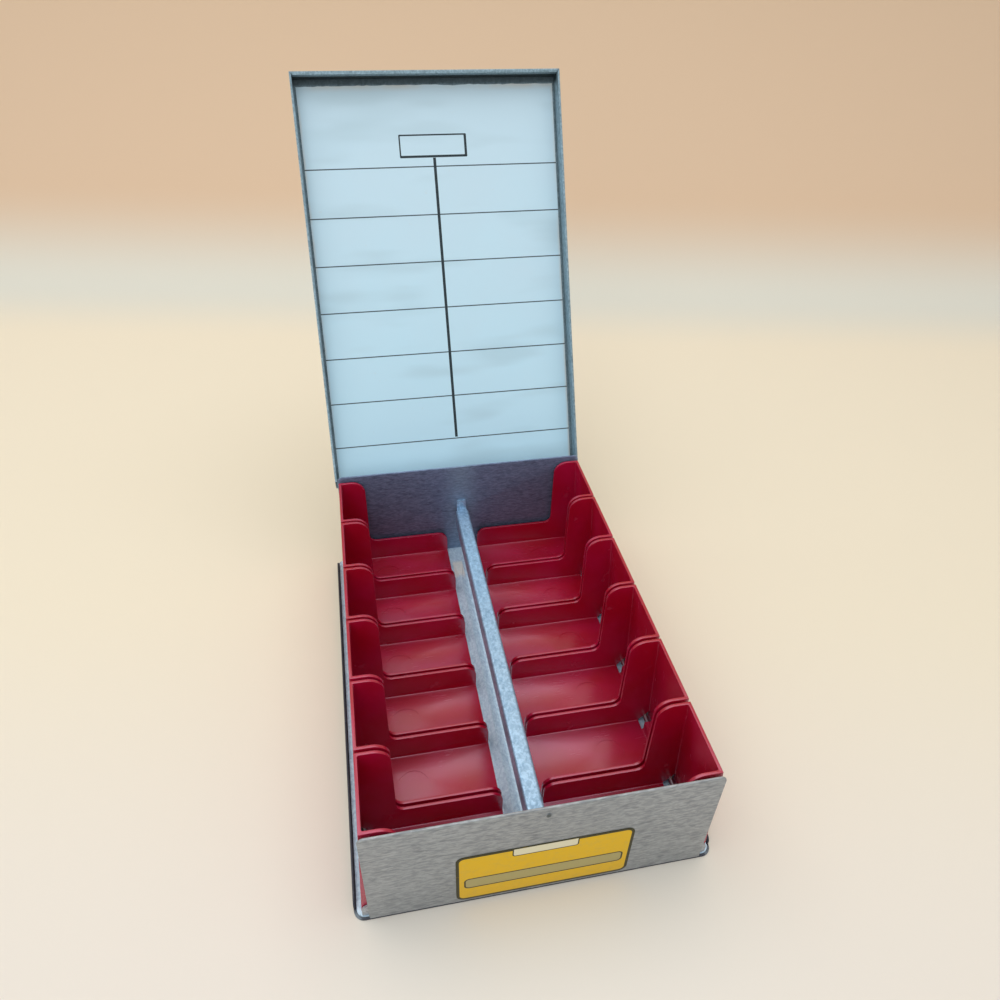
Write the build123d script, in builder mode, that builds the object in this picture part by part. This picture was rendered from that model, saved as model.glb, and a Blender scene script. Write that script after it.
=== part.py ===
from build123d import *
from math import asin, cos, degrees, radians, sin, sqrt, tan
import os

# A file box for mounted 35 mm slides: a sheet-metal box with open sides, a lid hinged
# along the back, and twelve plastic trays in two columns that tilt outward.
# Millimetres, +Z up. The origin is on the table under the middle of the base and the
# front panel faces -Y. The lid stands open on its stop and the trays stand upright.

# ---- Box ----
box_width = 125.0  # front panel and back wall, side to side
box_length = 190.0  # front of the front panel to back of the back wall
panel_top = 55.0  # top edge of the front panel above the table
back_top = 56.7  # top edge of the back wall above the table
panel_corner = 2.5  # rounding of the panels' top corners
sheet = 0.9  # metal of the panels, the lid and the rail
thin_sheet = 0.8  # metal of the base pan, the floor and the pivot lugs

# ---- Base pan and floor sheet ----
pan_overhang = 5.5  # the pan reaches this far beyond the panels' side edges
pan_corner = 4.0
rim_height = 4.5  # top of the side rims above the table
rim_end_radius = 2.5
floor_side_gap = 0.3  # floor sheet to the inside of a rim
floor_corner = 3.0
bead_offset = 4.3  # each bead's middle from the middle of the box
bead_half_width = 3.2
bead_height = 2.4
bead_end_inset = 8.5  # bead's end to the inside of the panels
bead_taper = 20.0  # length of the slope at each end of a bead

# ---- Centre rail ----
rail_width = 6.8
rail_top = 30.5  # top face above the table
rail_depth = 9.0
rail_bend = 0.6
rail_end_gap = 3.0  # channel's end to the inside of the panels, bridged by a tongue
rail_tab_width = 5.0  # width of the tongues and of the tabs at their ends
rail_tab_height = 4.8  # end tabs stand this far above the rail
rail_tab_corner = 0.8

# ---- Trays ----
tray_rows = 6
tray_inner_x = 8.2  # open inner end of a tray from the middle of the box
tray_top_gap = 0.4  # tray tops lie this far below the front panel's top edge
tray_side_gap = 0.6  # tray's top outer edge to the panels' side edges
tray_flare = 3.6  # degrees by which the outer wall leans out towards its foot
tray_wall = 1.2
tray_floor = 1.2
tray_rest_gap = 0.1  # underside of a tray above the floor sheet
low_wall_height = 13.5  # low part of the dividing walls above the tray's underside
tall_wall_width = 12.6  # high part of the dividing walls, along its top
tall_corner = 6.5
step_corner = 3.5
low_corner = 5.0
ledge_width = 2.2  # pivot's axis to the ledge's face inside the tray
ledge_height = 2.6  # top of the ledge above the pivot's axis
mark_radius = 6.25  # round mould mark on the tray's floor
mark_depth = 0.15
mark_inset = 18.2  # mark's middle to the ledge's face

# ---- Tray pivots ----
pivot_inset = 5.2  # pivot's axis to the inside of the pan's rim
pivot_height = 3.2  # pivot's axis above the floor sheet
rod_radius = 1.0
rod_end_gap = 0.2  # rod's end to the inside of the panels
running_clearance = 0.05  # radial, where a part turns on a rod or pin
held_clearance = 0.02  # radial, where a rod or pin is held
tilt_angle = 30.0  # a tray's full outward tilt
heel_gap = 0.05  # heel to the floor sheet at full tilt
lug_width = 5.8
lug_tenon_width = 4.0
lug_panel_gap = 0.3  # end lugs to the inside of the panels
lug_side_gap = 0.2  # lug to the tray beside it
slot_clearance = 0.05  # all round a lug's tenon in its slot
notch_inset = 0.8  # notch's point from the ledge's face, toward the middle
notch_slope = 51.0  # degrees, rise of the notch's sloping edge
notch_below = 6.0  # the notch's cut reaches this far below the tray's inside
notch_taper = 25.0
notch_reach = 6.0

# ---- Lid ----
lid_angle = 117.0  # how far the lid is open
lid_top_gap = 0.5  # inside of the closed lid above the back wall's top edge
lid_side_gap = 0.4  # lid's side rims to the panels' side edges
lid_front_gap = 1.2  # lid's front rim to the front panel
lid_rim_depth = 9.2  # rims, from the lid's outer face to their edge
side_rim_gap = 3.0  # end of the side rims to the hinge axis
hem_thickness = 0.6
hem_height = 3.2
card_thickness = 0.3
card_side_gap = 1.1  # card to the lid's side rims
card_front_gap = 3.0  # card to the lid's front rim
card_back_gap = 2.8  # card to the lid's back rim

# ---- Lid hinge, on the outside of the back wall ----
hinge_drop = 7.9  # pin's axis below the back wall's top edge
pin_radius = 0.8
hinge_half_length = 58.0
end_curl_length = 14.0
middle_curl_length = 28.0
leaf_thickness = 1.2
leaf_drop = 12.0  # leaf's lower edge below the pin's axis
curl_gap = 0.4  # end to end, between neighbouring curls
curl_relief = 0.4  # round a curl, to the metal that it turns past
stop_gap = 0.1  # open lid's stop lips to the back wall

# ---- Catch and label ----
dimple_radius = 1.6
dimple_height = 0.3
dimple_taper = 50.0
dimple_drop = 4.2  # dimple's middle below the panel's top edge
label_width = 64.0
label_height = 30.4
label_corner = 3.2
label_thickness = 0.25
label_bottom = 2.4  # label's lower edge above the table
label_offset = 0.7  # label's middle, right of the panel's middle

# ---- Places worked out from the sizes ----
panel_inside = box_length / 2 - sheet
pan_half_width = box_width / 2 + pan_overhang
rim_inside = pan_half_width - thin_sheet
floor_top = 2 * thin_sheet
floor_half_width = rim_inside - floor_side_gap

pivot_x = rim_inside - pivot_inset
pivot_z = floor_top + pivot_height
lug_reach = panel_inside - lug_panel_gap - thin_sheet / 2
tray_pitch = 2 * lug_reach / tray_rows
tray_length = tray_pitch - thin_sheet - 2 * lug_side_gap
tray_base = floor_top + tray_rest_gap
tray_top = panel_top - tray_top_gap
tray_top_x = box_width / 2 - tray_side_gap
tall_wall_x = tray_top_x - tall_wall_width
low_wall_top = tray_base + low_wall_height
tray_inside_z = tray_base + tray_floor
ledge_x = pivot_x - ledge_width
ledge_top = pivot_z + ledge_height
flare = tan(radians(tray_flare))

leaf_curl_radius = pin_radius + leaf_thickness
lid_curl_radius = pin_radius + sheet
hinge_y = box_length / 2 + leaf_curl_radius
hinge_z = back_top - hinge_drop
lid_curl_start = middle_curl_length / 2 + curl_gap
lid_curl_end = hinge_half_length - end_curl_length - curl_gap
lid_curl_x = (lid_curl_start + lid_curl_end) / 2
lid_curl_length = lid_curl_end - lid_curl_start

# The lid's own places are measured from the hinge axis, with the lid closed.
lid_half_width = box_width / 2 + lid_side_gap + sheet
lid_front = hinge_y + box_length / 2 + lid_front_gap + sheet
lid_inside = hinge_drop + lid_top_gap
rim_edge = lid_inside + sheet - lid_rim_depth
lid_middle_y = (lid_curl_radius - lid_front) / 2
lid_length = lid_curl_radius + lid_front
stop_reach = leaf_curl_radius - stop_gap + lid_curl_radius * cos(radians(lid_angle))
stop_lip = stop_reach / sin(radians(lid_angle))
lip_sweep = sqrt(lid_curl_radius**2 + stop_lip**2)

os.makedirs("parts", exist_ok=True)


def outer_wall_x(z):
    """Outside of a right-hand tray's outer wall at height z."""
    return tray_top_x + (tray_top - z) * flare


def ridge_part(half_width, height, length, taper):
    """A ridge along Y that stands on the XY plane, with a slope at each end."""
    with BuildPart() as ridge:
        with BuildSketch(Plane.XZ):
            with BuildLine():
                Polyline((-half_width, 0), (0, height), (half_width, 0), close=True)
            make_face()
        extrude(amount=length / 2, both=True)
        for end in (-1, 1):
            with BuildSketch(Plane.YZ):
                with BuildLine():
                    Polyline(
                        (end * length / 2, 0),
                        (end * length / 2, 2 * height),
                        (end * (length / 2 - 2 * taper), 2 * height),
                        close=True,
                    )
                make_face()
            extrude(amount=half_width, both=True, mode=Mode.SUBTRACT)
    return ridge.part


# ---- Base pan: a flat bottom with a low rim along each side ----
with BuildPart() as base_pan:
    with BuildSketch():
        RectangleRounded(2 * pan_half_width, box_length, pan_corner)
    extrude(amount=thin_sheet)
    for side in (-1, 1):
        with BuildSketch(Plane.YZ.offset(side * (rim_inside + thin_sheet / 2))) as rim:
            with Locations((0, rim_height / 2)):
                Rectangle(box_length - 2 * pan_corner, rim_height)
            fillet(rim.vertices().group_by(Axis.Y)[-1], rim_end_radius)
        extrude(amount=thin_sheet / 2, both=True)
base_pan.part.label = "base_pan"
export_step(base_pan.part, "parts/base_pan.step")

# ---- Pivot lugs: plates that stand in slots of the floor and carry the rods ----
with BuildPart() as lug:
    with BuildSketch(Plane.XZ):
        with Locations((0, floor_top + pivot_height / 2)):
            Rectangle(lug_width, pivot_height)
        with Locations((0, floor_top - thin_sheet / 2)):
            Rectangle(lug_tenon_width, thin_sheet)
        with Locations((0, pivot_z)):
            Circle(lug_width / 2)
            Circle(rod_radius + held_clearance, mode=Mode.SUBTRACT)
    extrude(amount=thin_sheet / 2, both=True)

with BuildPart() as pivot_lugs:
    with GridLocations(2 * pivot_x, tray_pitch, 2, tray_rows + 1):
        add(lug.part)
pivot_lugs.part.label = "pivot_lugs"
export_step(pivot_lugs.part, "parts/pivot_lugs.step")

# ---- Floor sheet: two pressed beads beside the trays' inner ends, and the lugs' slots ----
bead = ridge_part(bead_half_width, bead_height, 2 * (panel_inside - bead_end_inset), bead_taper)

with BuildPart() as floor_sheet:
    with BuildSketch(Plane.XY.offset(thin_sheet)):
        RectangleRounded(2 * floor_half_width, 2 * panel_inside, floor_corner)
    extrude(amount=thin_sheet)
    with Locations((-bead_offset, 0, floor_top), (bead_offset, 0, floor_top)):
        add(bead)
    with Locations((-bead_offset, 0, thin_sheet), (bead_offset, 0, thin_sheet)):
        add(bead, mode=Mode.SUBTRACT)
    with BuildSketch(Plane.XY.offset(thin_sheet)):
        with GridLocations(2 * pivot_x, tray_pitch, 2, tray_rows + 1):
            Rectangle(lug_tenon_width + 2 * slot_clearance, thin_sheet + 2 * slot_clearance)
    extrude(amount=thin_sheet, mode=Mode.SUBTRACT)
floor_sheet.part.label = "floor_sheet"
export_step(floor_sheet.part, "parts/floor_sheet.step")

# ---- Pivot rods: one along each column of trays ----
for side, name in ((-1, "pivot_rod_left"), (1, "pivot_rod_right")):
    with BuildPart() as pivot_rod:
        with BuildSketch(Plane.XZ):
            with Locations((side * pivot_x, pivot_z)):
                Circle(rod_radius)
        extrude(amount=panel_inside - rod_end_gap, both=True)
    pivot_rod.part.label = name
    export_step(pivot_rod.part, f"parts/{name}.step")

# ---- Front panel, with the small dimple that catches the lid ----
with BuildPart() as front_panel:
    with BuildSketch(Plane.XZ.offset(panel_inside)) as panel:
        with Locations((0, (thin_sheet + panel_top) / 2)):
            Rectangle(box_width, panel_top - thin_sheet)
        fillet(panel.vertices().group_by(Axis.Y)[-1], panel_corner)
    extrude(amount=sheet)
    with BuildSketch(Plane.XZ.offset(box_length / 2)):
        with Locations((0, panel_top - dimple_drop)):
            Circle(dimple_radius)
    extrude(amount=dimple_height, taper=dimple_taper)
front_panel.part.label = "front_panel"
export_step(front_panel.part, "parts/front_panel.step")

# ---- Label on the front panel ----
with BuildPart() as label:
    with BuildSketch(Plane.XZ.offset(box_length / 2)):
        with Locations((label_offset, label_bottom + label_height / 2)):
            RectangleRounded(label_width, label_height, label_corner)
    extrude(amount=label_thickness)
label.part.label = "label"
export_step(label.part, "parts/label.step")

# ---- Back wall ----
with BuildPart() as back_wall:
    with BuildSketch(Plane.XZ.offset(-panel_inside)) as wall:
        with Locations((0, (thin_sheet + back_top) / 2)):
            Rectangle(box_width, back_top - thin_sheet)
        fillet(wall.vertices().group_by(Axis.Y)[-1], panel_corner)
    extrude(amount=-sheet)
back_wall.part.label = "back_wall"
export_step(back_wall.part, "parts/back_wall.step")

# ---- Hinge leaf: a strip on the back wall, curled round the pin in three places ----
with BuildPart() as hinge_leaf:
    with BuildSketch(Plane.XZ.offset(-box_length / 2)):
        with Locations((0, hinge_z - leaf_drop / 2)):
            Rectangle(2 * hinge_half_length, leaf_drop)
        with Locations((-lid_curl_x, hinge_z), (lid_curl_x, hinge_z)):
            Rectangle(
                lid_curl_length + 2 * curl_gap, 2 * (lip_sweep + curl_relief), mode=Mode.SUBTRACT
            )
    extrude(amount=-leaf_thickness)
    for start, length in (
        (-hinge_half_length, end_curl_length),
        (-middle_curl_length / 2, middle_curl_length),
        (hinge_half_length - end_curl_length, end_curl_length),
    ):
        with BuildSketch(Plane.YZ.offset(start)):
            with Locations((hinge_y, hinge_z)):
                Circle(leaf_curl_radius)
        extrude(amount=length)
    with BuildSketch(Plane.YZ):
        with Locations((hinge_y, hinge_z)):
            Circle(pin_radius + held_clearance)
    extrude(amount=hinge_half_length, both=True, mode=Mode.SUBTRACT)
hinge_leaf.part.label = "hinge_leaf"
export_step(hinge_leaf.part, "parts/hinge_leaf.step")

# ---- Hinge pin ----
with BuildPart() as hinge_pin:
    with BuildSketch(Plane.YZ):
        with Locations((hinge_y, hinge_z)):
            Circle(pin_radius)
    extrude(amount=hinge_half_length, both=True)
hinge_pin.part.label = "hinge_pin"
export_step(hinge_pin.part, "parts/hinge_pin.step")

# ---- Centre rail: a channel, open below, with a tongue at each end turned up as a tab ----
with BuildPart() as centre_rail:
    with BuildSketch(Plane.XZ) as channel:
        with Locations((0, rail_top - rail_depth / 2)):
            Rectangle(rail_width, rail_depth)
        fillet(channel.vertices().group_by(Axis.Y)[-1], rail_bend)
        with Locations((0, rail_top - sheet - rail_depth / 2)):
            Rectangle(rail_width - 2 * sheet, rail_depth, mode=Mode.SUBTRACT)
    extrude(amount=panel_inside - rail_end_gap, both=True)
    with Locations((0, 0, rail_top - sheet / 2)):
        Box(rail_tab_width, 2 * panel_inside, sheet)
    for end in (-1, 1):
        with BuildSketch(Plane.XZ.offset(end * (panel_inside - sheet / 2))) as tab:
            with Locations((0, rail_top - sheet + (rail_tab_height + sheet) / 2)):
                Rectangle(rail_tab_width, rail_tab_height + sheet)
            fillet(tab.vertices().group_by(Axis.Y)[-1], rail_tab_corner)
        extrude(amount=sheet / 2, both=True)
centre_rail.part.label = "centre_rail"
export_step(centre_rail.part, "parts/centre_rail.step")

# ---- Lid, drawn closed about the hinge axis and then turned to where it stands open ----
lid_plane = Plane(
    origin=(0, hinge_y, hinge_z),
    x_dir=(1, 0, 0),
    z_dir=(0, sin(radians(lid_angle)), cos(radians(lid_angle))),
)

with BuildPart() as closed_lid:
    with BuildSketch(Plane.XY.offset(rim_edge)):
        with Locations((0, lid_middle_y)):
            Rectangle(2 * lid_half_width, lid_length)
    extrude(amount=lid_rim_depth)
    with BuildSketch(Plane.XY.offset(rim_edge)):
        with Locations((0, lid_middle_y)):
            Rectangle(2 * (lid_half_width - sheet), lid_length - 2 * sheet)
    extrude(amount=lid_rim_depth - sheet, mode=Mode.SUBTRACT)
    with BuildSketch(Plane.XY.offset(rim_edge)):
        rim_x = lid_half_width - sheet / 2
        rim_y = (lid_curl_radius - side_rim_gap) / 2
        with Locations((-rim_x, rim_y), (rim_x, rim_y)):
            Rectangle(sheet, lid_curl_radius + side_rim_gap)
    extrude(amount=lid_rim_depth - sheet, mode=Mode.SUBTRACT)
    with BuildSketch(Plane.XY.offset(rim_edge)):
        with Locations((0, -lid_front + sheet + hem_thickness / 2)):
            Rectangle(2 * (lid_half_width - sheet), hem_thickness)
    extrude(amount=hem_height)
    with BuildSketch(Plane.XZ.offset(-lid_curl_radius)):
        with Locations((0, 0)):
            Rectangle(
                2 * (hinge_half_length + curl_gap), 2 * (leaf_curl_radius + curl_relief)
            )
    extrude(amount=sheet, mode=Mode.SUBTRACT)
    with BuildSketch(Plane.XZ.offset(-lid_curl_radius)):
        with Locations((-lid_curl_x, -stop_lip), (lid_curl_x, -stop_lip)):
            Rectangle(
                lid_curl_length,
                stop_lip + lid_inside,
                align=(Align.CENTER, Align.MIN),
            )
    extrude(amount=sheet)
    for side in (-1, 1):
        with BuildSketch(Plane.YZ.offset(side * lid_curl_x)):
            Circle(lid_curl_radius)
        extrude(amount=lid_curl_length / 2, both=True)
    with BuildSketch(Plane.YZ):
        Circle(pin_radius + running_clearance)
    extrude(amount=hinge_half_length, both=True, mode=Mode.SUBTRACT)

with BuildPart(lid_plane) as lid:
    add(closed_lid.part)
lid.part.label = "lid"
export_step(lid.part, "parts/lid.step")

# ---- Index card on the inside of the lid ----
card_front = lid_front - sheet - card_front_gap
card_back = card_back_gap - pin_radius

with BuildPart(lid_plane) as index_card:
    with Locations((0, -(card_front + card_back) / 2, lid_inside - card_thickness / 2)):
        Box(2 * (lid_half_width - sheet - card_side_gap), card_front - card_back, card_thickness)
index_card.part.label = "index_card"
export_step(index_card.part, "parts/index_card.step")

# ---- A right-hand tray in the middle of the box's length ----
# Its rounded heel rolls over the floor sheet and ends in a flat that rests there when tilted.
heel_radius = pivot_height - heel_gap
heel_start = degrees(asin(sqrt(heel_radius**2 - (pivot_z - tray_base) ** 2) / heel_radius))


def heel_point(angle):
    """A point of the heel's arc, at an angle from straight below the pivot."""
    return (
        pivot_x + heel_radius * sin(radians(angle)),
        pivot_z - heel_radius * cos(radians(angle)),
    )


# The heel's flat runs on from the arc, rising by the tilt angle, as far as the outer wall.
flat_x, flat_z = heel_point(tilt_angle)
flat_run = (outer_wall_x(flat_z) - flat_x) / (1 + flare * tan(radians(tilt_angle)))
foot_x = flat_x + flat_run
foot_z = flat_z + flat_run * tan(radians(tilt_angle))

wall_foot_x = outer_wall_x(tray_inside_z) - tray_wall
notch_x = ledge_x - notch_inset
notch_rise = tan(radians(notch_slope))

with BuildPart() as right_tray:
    with BuildSketch(Plane.XZ) as outline:
        with BuildLine():
            Polyline(
                (foot_x, foot_z),
                (tray_top_x, tray_top),
                (tall_wall_x, tray_top),
                (tall_wall_x, low_wall_top),
                (tray_inner_x, low_wall_top),
                (tray_inner_x, tray_base),
                heel_point(heel_start),
            )
            ThreePointArc(
                heel_point(heel_start),
                heel_point((heel_start + tilt_angle) / 2),
                heel_point(tilt_angle),
            )
            Line(heel_point(tilt_angle), (foot_x, foot_z))
        make_face()
        for corner, radius in (
            ((tall_wall_x, tray_top), tall_corner),
            ((tall_wall_x, low_wall_top), step_corner),
            ((tray_inner_x, low_wall_top), low_corner),
        ):
            fillet(outline.vertices().sort_by_distance(corner)[0], radius)
    extrude(amount=tray_length / 2, both=True)
    with BuildSketch(Plane.XZ):
        with BuildLine():
            Polyline(
                (tray_inner_x, tray_inside_z),
                (ledge_x, tray_inside_z),
                (ledge_x, ledge_top),
                (outer_wall_x(ledge_top) - tray_wall, ledge_top),
                (tray_top_x - tray_wall, tray_top),
                (tray_inner_x, tray_top),
                close=True,
            )
        make_face()
    extrude(amount=tray_length / 2 - tray_wall, both=True, mode=Mode.SUBTRACT)
    with BuildSketch(Plane.XY.offset(tray_inside_z)):
        with Locations((ledge_x - mark_inset, 0)):
            Circle(mark_radius)
    extrude(amount=-mark_depth, mode=Mode.SUBTRACT)
    with BuildSketch(Plane.XZ):
        with Locations((pivot_x, pivot_z)):
            Circle(rod_radius + running_clearance)
    extrude(amount=tray_length / 2, both=True, mode=Mode.SUBTRACT)
    with BuildSketch(Plane.XZ.offset(-tray_length / 2)):
        with BuildLine():
            Polyline(
                (notch_x - notch_below / notch_rise, tray_inside_z - notch_below),
                (wall_foot_x, tray_inside_z - notch_below),
                (wall_foot_x, tray_inside_z + (wall_foot_x - notch_x) * notch_rise),
                close=True,
            )
        make_face()
    extrude(amount=notch_reach, taper=notch_taper, mode=Mode.SUBTRACT)

with BuildPart() as left_tray:
    mirror(right_tray.part, about=Plane.YZ)

# ---- The twelve trays, numbered from the front ----
for row in range(tray_rows):
    tray_y = (row - (tray_rows - 1) / 2) * tray_pitch
    for side, model in (("left", left_tray), ("right", right_tray)):
        with BuildPart() as tray:
            with Locations((0, tray_y, 0)):
                add(model.part)
        tray.part.label = f"tray_{side}_{row + 1}"
        export_step(tray.part, f"parts/{tray.part.label}.step")
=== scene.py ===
"""Looks of a sheet-metal file for mounted 35 mm slides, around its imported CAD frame.

Places and sizes are in millimetres, in the frame of the CAD: +Z up, the origin on the table under
the middle of the base, the front panel facing -Y. The lid stands open on its stop.
"""

import logging
from dataclasses import dataclass, field
from enum import Enum
from math import cos, radians, sin, tan
from typing import Callable, Sequence, Union

import bpy
from mathutils import Matrix, Vector


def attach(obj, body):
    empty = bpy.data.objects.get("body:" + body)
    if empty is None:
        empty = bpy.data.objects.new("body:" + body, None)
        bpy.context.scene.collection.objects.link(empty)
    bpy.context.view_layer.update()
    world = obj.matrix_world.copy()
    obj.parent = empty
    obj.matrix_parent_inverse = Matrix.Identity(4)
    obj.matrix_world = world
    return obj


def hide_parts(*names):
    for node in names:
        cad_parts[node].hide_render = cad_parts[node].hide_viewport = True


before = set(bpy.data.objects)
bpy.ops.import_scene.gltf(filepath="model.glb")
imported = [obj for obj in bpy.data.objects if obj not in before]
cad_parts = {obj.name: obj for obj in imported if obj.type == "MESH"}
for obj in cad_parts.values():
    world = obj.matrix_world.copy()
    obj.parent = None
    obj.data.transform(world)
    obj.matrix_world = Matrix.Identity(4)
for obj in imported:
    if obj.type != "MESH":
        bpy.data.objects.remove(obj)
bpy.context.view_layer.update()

log = logging.getLogger("slide_file")
MM = 0.001
Colour = tuple[float, float, float, float]
Place = tuple[float, float, float]
Spot = tuple[float, float]
Plate = tuple[Spot, Spot, float]
Test = Callable[[Vector, Vector], bool]

# how near a point lies, in millimetres, when it counts as at a place, and where others lie close by
NEAR, TIGHT = 0.1, 0.01
# how much of a face's normal lies along an axis when the face counts as looking that way
SQUARE_ON = 0.9
# the label's low corner, high corner and corner radius, from the middle of the file and the table
LABEL: Plate = ((-31.3, 2.4), (32.7, 32.8), 3.2)


class Side(Enum):
    """The two columns of trays."""

    LEFT = -1
    RIGHT = 1


class End(Enum):
    """The two ends of the file."""

    FRONT = -1
    BACK = 1


class Cut(Enum):
    """How one solid acts on another."""

    AWAY = "DIFFERENCE"
    ONTO = "UNION"


class Along(Enum):
    """The axis that a round bar runs along, as the turn that lays it there."""

    X = (0.0, radians(90), 0.0)
    Y = (radians(90), 0.0, 0.0)


def frontward(_: Vector, facing: Vector) -> bool:
    """Picks faces that look to the front."""
    return facing.y < -SQUARE_ON


def upward(_: Vector, facing: Vector) -> bool:
    """Picks faces that look up."""
    return facing.z > SQUARE_ON


def downward(_: Vector, facing: Vector) -> bool:
    """Picks faces that look down."""
    return facing.z < -SQUARE_ON


def span(half: Side | End, inner: float, outer: float) -> list[float]:
    """Two distances from the middle, laid out in one half of the file from low to high."""
    return sorted((half.value * inner, half.value * outer))


# ---------------------------------------------------------------- the bench


class Workpiece:
    """One mesh on the bench, shaped with Blender's own tools and measured in millimetres."""

    doubled = 0.002  # points nearer to each other than this are one point

    def __init__(self, obj: bpy.types.Object) -> None:
        """Takes up an object that is there already."""
        self.obj = obj

    @staticmethod
    def clear_bench() -> None:
        """Deselects everything."""
        bpy.ops.object.select_all(action="DESELECT")

    @classmethod
    def block(cls, name: str, low: Place, high: Place) -> "Workpiece":
        """Starts a piece from a block.

        Args:
            name: the new object's name.
            low: lowest corner.
            high: highest corner.

        Returns:
            The block, with its object at the origin.
        """
        cls.clear_bench()
        bottom, top = Vector(low) * MM, Vector(high) * MM
        bpy.ops.mesh.primitive_cube_add(size=1, location=(bottom + top) / 2)
        return cls._started(name, top - bottom)

    @classmethod
    def bar(cls, name: str, radius: float, middle: Place, length: float, along: Along,
            sides: int = 32) -> "Workpiece":
        """Starts a piece from a round bar.

        Args:
            name: the new object's name.
            radius: the bar's radius.
            middle: the middle of its length.
            length: end to end.
            along: the axis it runs along.
            sides: flats round the bar.

        Returns:
            The bar, with its object at the origin.
        """
        cls.clear_bench()
        bpy.ops.mesh.primitive_cylinder_add(
            vertices=sides, radius=radius * MM, depth=length * MM,
            location=Vector(middle) * MM, rotation=along.value)
        return cls._started(name, Vector((1, 1, 1)))

    @classmethod
    def sheet(cls, name: str, low: Place, high: Place, across: int, down: int) -> "Workpiece":
        """Starts a piece from a flat divided sheet at the height of its low corner.

        Args:
            name: the new object's name.
            low: lowest corner.
            high: highest corner.
            across: divisions along X.
            down: divisions along Y.

        Returns:
            The sheet, with its object at the origin.
        """
        cls.clear_bench()
        bottom, top = Vector(low) * MM, Vector(high) * MM
        bpy.ops.mesh.primitive_grid_add(
            x_subdivisions=across, y_subdivisions=down, size=1, location=(bottom + top) / 2)
        return cls._started(name, Vector((top.x - bottom.x, top.y - bottom.y, 1)))

    @classmethod
    def _started(cls, name: str, scale: Vector) -> "Workpiece":
        """Names the new primitive and moves its place and size into its mesh."""
        obj = bpy.context.object
        obj.name = name
        obj.scale = scale
        return cls(obj).settle()

    def take(self) -> "Workpiece":
        """Makes this the one selected object."""
        self.clear_bench()
        self.obj.select_set(True)
        bpy.context.view_layer.objects.active = self.obj
        return self

    def settle(self) -> "Workpiece":
        """Moves the object's own place, turn and size into its mesh."""
        self.take()
        bpy.ops.object.transform_apply(location=True, rotation=True, scale=True)
        return self

    def _pick(self, kind: str, chosen: Sequence[bool]) -> "Workpiece":
        """Selects only the chosen faces or edges of the mesh."""
        self.take()
        mesh = self.obj.data
        for name in ("vertices", "edges", "polygons"):
            elements = getattr(mesh, name)
            elements.foreach_set("select", list(chosen) if name == kind else [False] * len(elements))
        bpy.context.tool_settings.mesh_select_mode = (False, kind == "edges", kind == "polygons")
        return self

    def faces(self, test: Test) -> "Workpiece":
        """Selects the faces whose middle, in millimetres, and normal pass a test."""
        return self._pick("polygons", [test(f.center / MM, f.normal) for f in self.obj.data.polygons])

    def edges(self, test: Test) -> "Workpiece":
        """Selects the edges whose two ends, in millimetres, pass a test."""
        at = [v.co / MM for v in self.obj.data.vertices]
        return self._pick("edges", [test(at[e.vertices[0]], at[e.vertices[1]])
                                    for e in self.obj.data.edges])

    def whole(self) -> "Workpiece":
        """Selects the whole piece."""
        return self.faces(lambda middle, facing: True)

    def work(self, tool: Callable[..., object], **settings: object) -> "Workpiece":
        """Runs one edit-mode tool on what is selected and returns this piece."""
        bpy.ops.object.mode_set(mode="EDIT")
        tool(**settings)
        bpy.ops.object.mode_set(mode="OBJECT")
        return self

    def extrude(self, by: Place) -> "Workpiece":
        """Draws the selected faces out by a distance in millimetres."""
        return self.work(bpy.ops.mesh.extrude_region_move,
                         TRANSFORM_OT_translate={"value": Vector(by) * MM})

    def resize(self, by: Place, about: Place) -> "Workpiece":
        """Scales what is selected about a point."""
        return self.work(bpy.ops.transform.resize, value=by, center_override=Vector(about) * MM)

    def round(self, radius: float, segments: int) -> "Workpiece":
        """Rounds the selected edges."""
        return self.work(bpy.ops.mesh.bevel, offset=radius * MM, segments=segments,
                         affect="EDGES", profile=0.5, clamp_overlap=True)

    def saw(self, point: Place, normal: Place, clear: bool = True) -> "Workpiece":
        """Cuts the piece with a plane, and may clear what lies on the side of the normal."""
        return self.whole().work(bpy.ops.mesh.bisect, plane_co=Vector(point) * MM,
                                 plane_no=Vector(normal).normalized(), use_fill=clear,
                                 clear_outer=clear)

    def soften(self, radius: float, segments: int = 2, sharper_than: float = 35.0) -> "Workpiece":
        """Rounds every edge that turns by more than an angle in degrees."""
        self.take()
        bpy.context.tool_settings.mesh_select_mode = (False, True, False)
        bpy.ops.object.mode_set(mode="EDIT")
        bpy.ops.mesh.select_all(action="DESELECT")
        bpy.ops.mesh.edges_select_sharp(sharpness=radians(sharper_than))
        bpy.ops.mesh.bevel(offset=radius * MM, segments=segments, affect="EDGES", clamp_overlap=True)
        bpy.ops.object.mode_set(mode="OBJECT")
        return self

    def modify(self, kind: str, **settings: object) -> "Workpiece":
        """Adds a modifier with its settings and applies it."""
        modifier = self.obj.modifiers.new(kind.lower(), kind)
        for name, value in settings.items():
            setattr(modifier, name, value)
        self.take()
        bpy.ops.object.modifier_apply(modifier=modifier.name)
        return self

    def carve(self, tool: "Workpiece", how: Cut = Cut.AWAY) -> "Workpiece":
        """Cuts another piece out of this one, or welds it on, and uses it up."""
        self.modify("BOOLEAN", operation=how.value, solver="EXACT", object=tool.obj)
        bpy.data.objects.remove(tool.obj, do_unlink=True)
        return self

    def join(self, *others: "Workpiece") -> "Workpiece":
        """Makes other pieces part of this one."""
        self.take()
        for other in others:
            other.obj.select_set(True)
        bpy.ops.object.join()
        return self

    def true_up(self) -> "Workpiece":
        """Merges doubled points and turns every face outward."""
        self.whole().work(bpy.ops.mesh.remove_doubles, threshold=self.doubled * MM)
        return self.whole().work(bpy.ops.mesh.normals_make_consistent, inside=False)

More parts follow.
